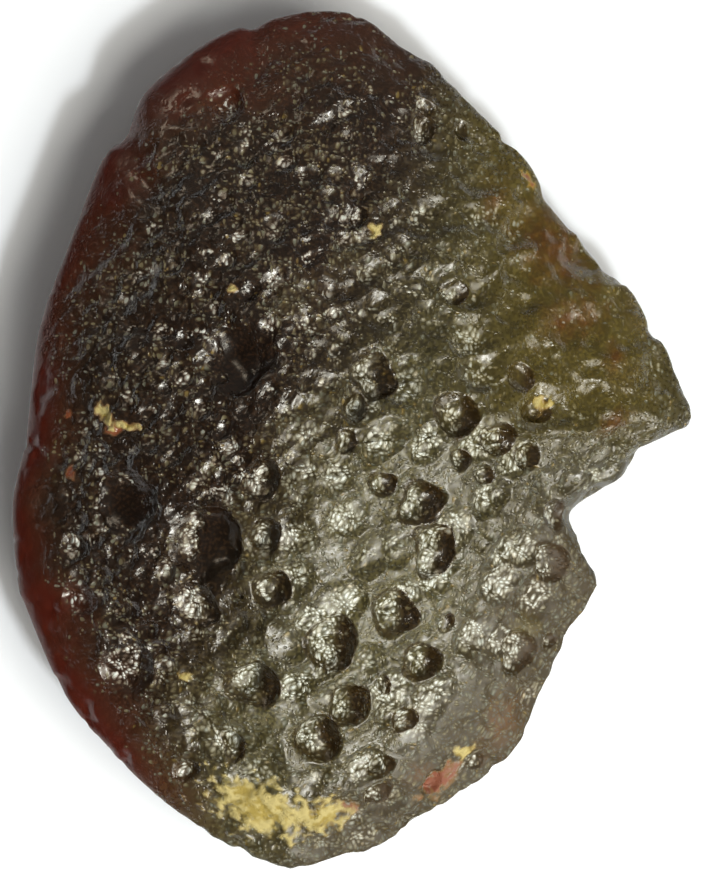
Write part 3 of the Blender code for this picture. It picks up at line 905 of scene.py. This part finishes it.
# %% Two glasses, for the upper face and the underside
def glass(name, upper):
    """The glass of the upper face, or with upper=False the plainer glass of the underside."""
    material = bpy.data.materials.new(name)
    material.use_nodes = True
    tree = material.node_tree
    shader = tree.nodes["Principled BSDF"]
    shader.inputs["IOR"].default_value = GLASS_IOR
    absorption = tree.nodes.new("ShaderNodeVolumeAbsorption")
    absorption.inputs["Color"].default_value = ABSORPTION_COLOUR
    absorption.inputs["Density"].default_value = ABSORPTION_PER_METRE
    tree.links.new(absorption.outputs[0], tree.nodes["Material Output"].inputs["Volume"])
    colour = body_colour(tree)
    lower_edge = attribute(tree, "lower edge")
    haze = total(tree, CLEAR_HAZE, part_of(tree, attribute(tree, "brown rim"), RIM_HAZE))
    satin = attribute(tree, "satin")
    if upper:
        place = tree.nodes.new("ShaderNodeTexCoord").outputs["Object"]
        grain = add(tree, "ShaderNodeTexNoise", {
            "Vector": place, "Scale": 1 / (FINE_GRAIN * MM), "Detail": 0.0}).outputs[0]
        satin = math_node(tree, "MULTIPLY", satin, spread(tree, grain, 0.36, 0.62, 0.5, 1.2))
        colour = add_stains(tree, colour, satin)
        haze = total(tree, haze, part_of(tree, satin, SATIN_AND_SHEEN_HAZE),
                     part_of(tree, lower_edge, LOWER_EDGE_HAZE),
                     part_of(tree, attribute(tree, "olive side"), OLIVE_HAZE),
                     part_of(tree, attribute(tree, "brown glass"), BROWN_HAZE),
                     part_of(tree, spread(tree, grain, 0.5, 0.7), GRAIN_HAZE))
    rough = largest(tree, spread(tree, satin, 0.0, 1.0, CLEAR_ROUGHNESS, SATIN_ROUGHNESS),
                    part_of(tree, lower_edge, LOWER_EDGE_ROUGHNESS))
    if upper:
        colour, haze, rough = add_dots(tree, shader, place, colour, haze, rough)
        colour, haze, rough = add_dirt(tree, colour, haze, rough)
    tree.links.new(colour, shader.inputs["Base Color"])
    tree.links.new(math_node(tree, "SUBTRACT", 1.0, haze), shader.inputs["Transmission Weight"])
    tree.links.new(rough, shader.inputs["Roughness"])
    return material


stone_glass = glass("moldavite glass", upper=True)
underside_glass = glass("moldavite glass below", upper=False)
print("nodes in the two glasses:", len(stone_glass.node_tree.nodes), len(underside_glass.node_tree.nodes))

# %% Etch the skin three times, from coarse to fine
def etch(obj, tree, name, values):
    """Adds one round of etching as a modifier."""
    modifier = obj.modifiers.new(name, "NODES")
    modifier.node_group = tree
    sockets = {item.name: item.identifier for item in tree.interface.items_tree if item.in_out == "INPUT"}
    for key, value in values.items():
        modifier[sockets[key]] = value


def pits(spacing, radius, depth, seed, bead_and_glint_share, where):
    """The values of one round of etching, with sizes in millimetres."""
    return {"Pit spacing": spacing * MM, "Pit radius": radius * MM, "Pit depth": depth * MM,
            "Seed": seed, "Bead and glint share": bead_and_glint_share, "Where": where, "Material": stone_glass}


stone = bpy.data.objects.new("moldavite_stone", skin)
bpy.context.scene.collection.objects.link(stone)
tree = etching_tree()
etch(stone, tree, "wide hollows", pits(
    spacing=1.5, radius=0.9, depth=0.36, seed=1.0, bead_and_glint_share=1.0, where="coarse pits"))
etch(stone, tree, "small pits", pits(
    spacing=0.75, radius=0.45, depth=0.2, seed=2.0, bead_and_glint_share=0.7, where="fine pits"))
etch(stone, tree, "finest pits", pits(
    spacing=0.4, radius=0.26, depth=0.08, seed=3.0, bead_and_glint_share=0.0, where="fine pits"))
thinning = stone.modifiers.new("keep the triangles that the pits need", "DECIMATE")
thinning.ratio = TRIANGLES_KEPT
etched = plain_mesh(stone)
stone.modifiers.clear()
stone.data = etched
etched.calc_loop_triangles()
print("etched skin:", len(etched.loop_triangles), "triangles")

# %% Give the underside its plainer glass
etched.materials.append(underside_glass)
below = [face for face in etched.polygons if face.normal.z < 0 and face.center.z < RIM_HEIGHT["left"] * MM]
for face in below:
    face.material_index = 1
print(len(below), "faces look down and get the plainer glass")

# %% Flatten the foot and fit the CAD box
node_low, node_high = (np.array(corner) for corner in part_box("moldavite"))
points = coordinates(etched)
low, high = points.min(axis=0), points.max(axis=0)
stretch = (node_high - node_low) / (high - [low[0], low[1], 0.0])
points = (points - [(low[0] + high[0]) / 2, (low[1] + high[1]) / 2, 0.0]) * stretch
points[:, 2] = np.maximum(points[:, 2], 0.0)
points[:, :2] += (node_low + node_high)[:2] / 2
set_coordinates(etched, points)
etched.shade_smooth()
print("stretch to the CAD box:", stretch.round(4))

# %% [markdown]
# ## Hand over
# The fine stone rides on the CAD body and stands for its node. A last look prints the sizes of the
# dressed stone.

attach(stone, "root")
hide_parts("moldavite")

low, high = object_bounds()
print("visual box in mm:", [round(v * 1000, 2) for v in (*low, *high)])
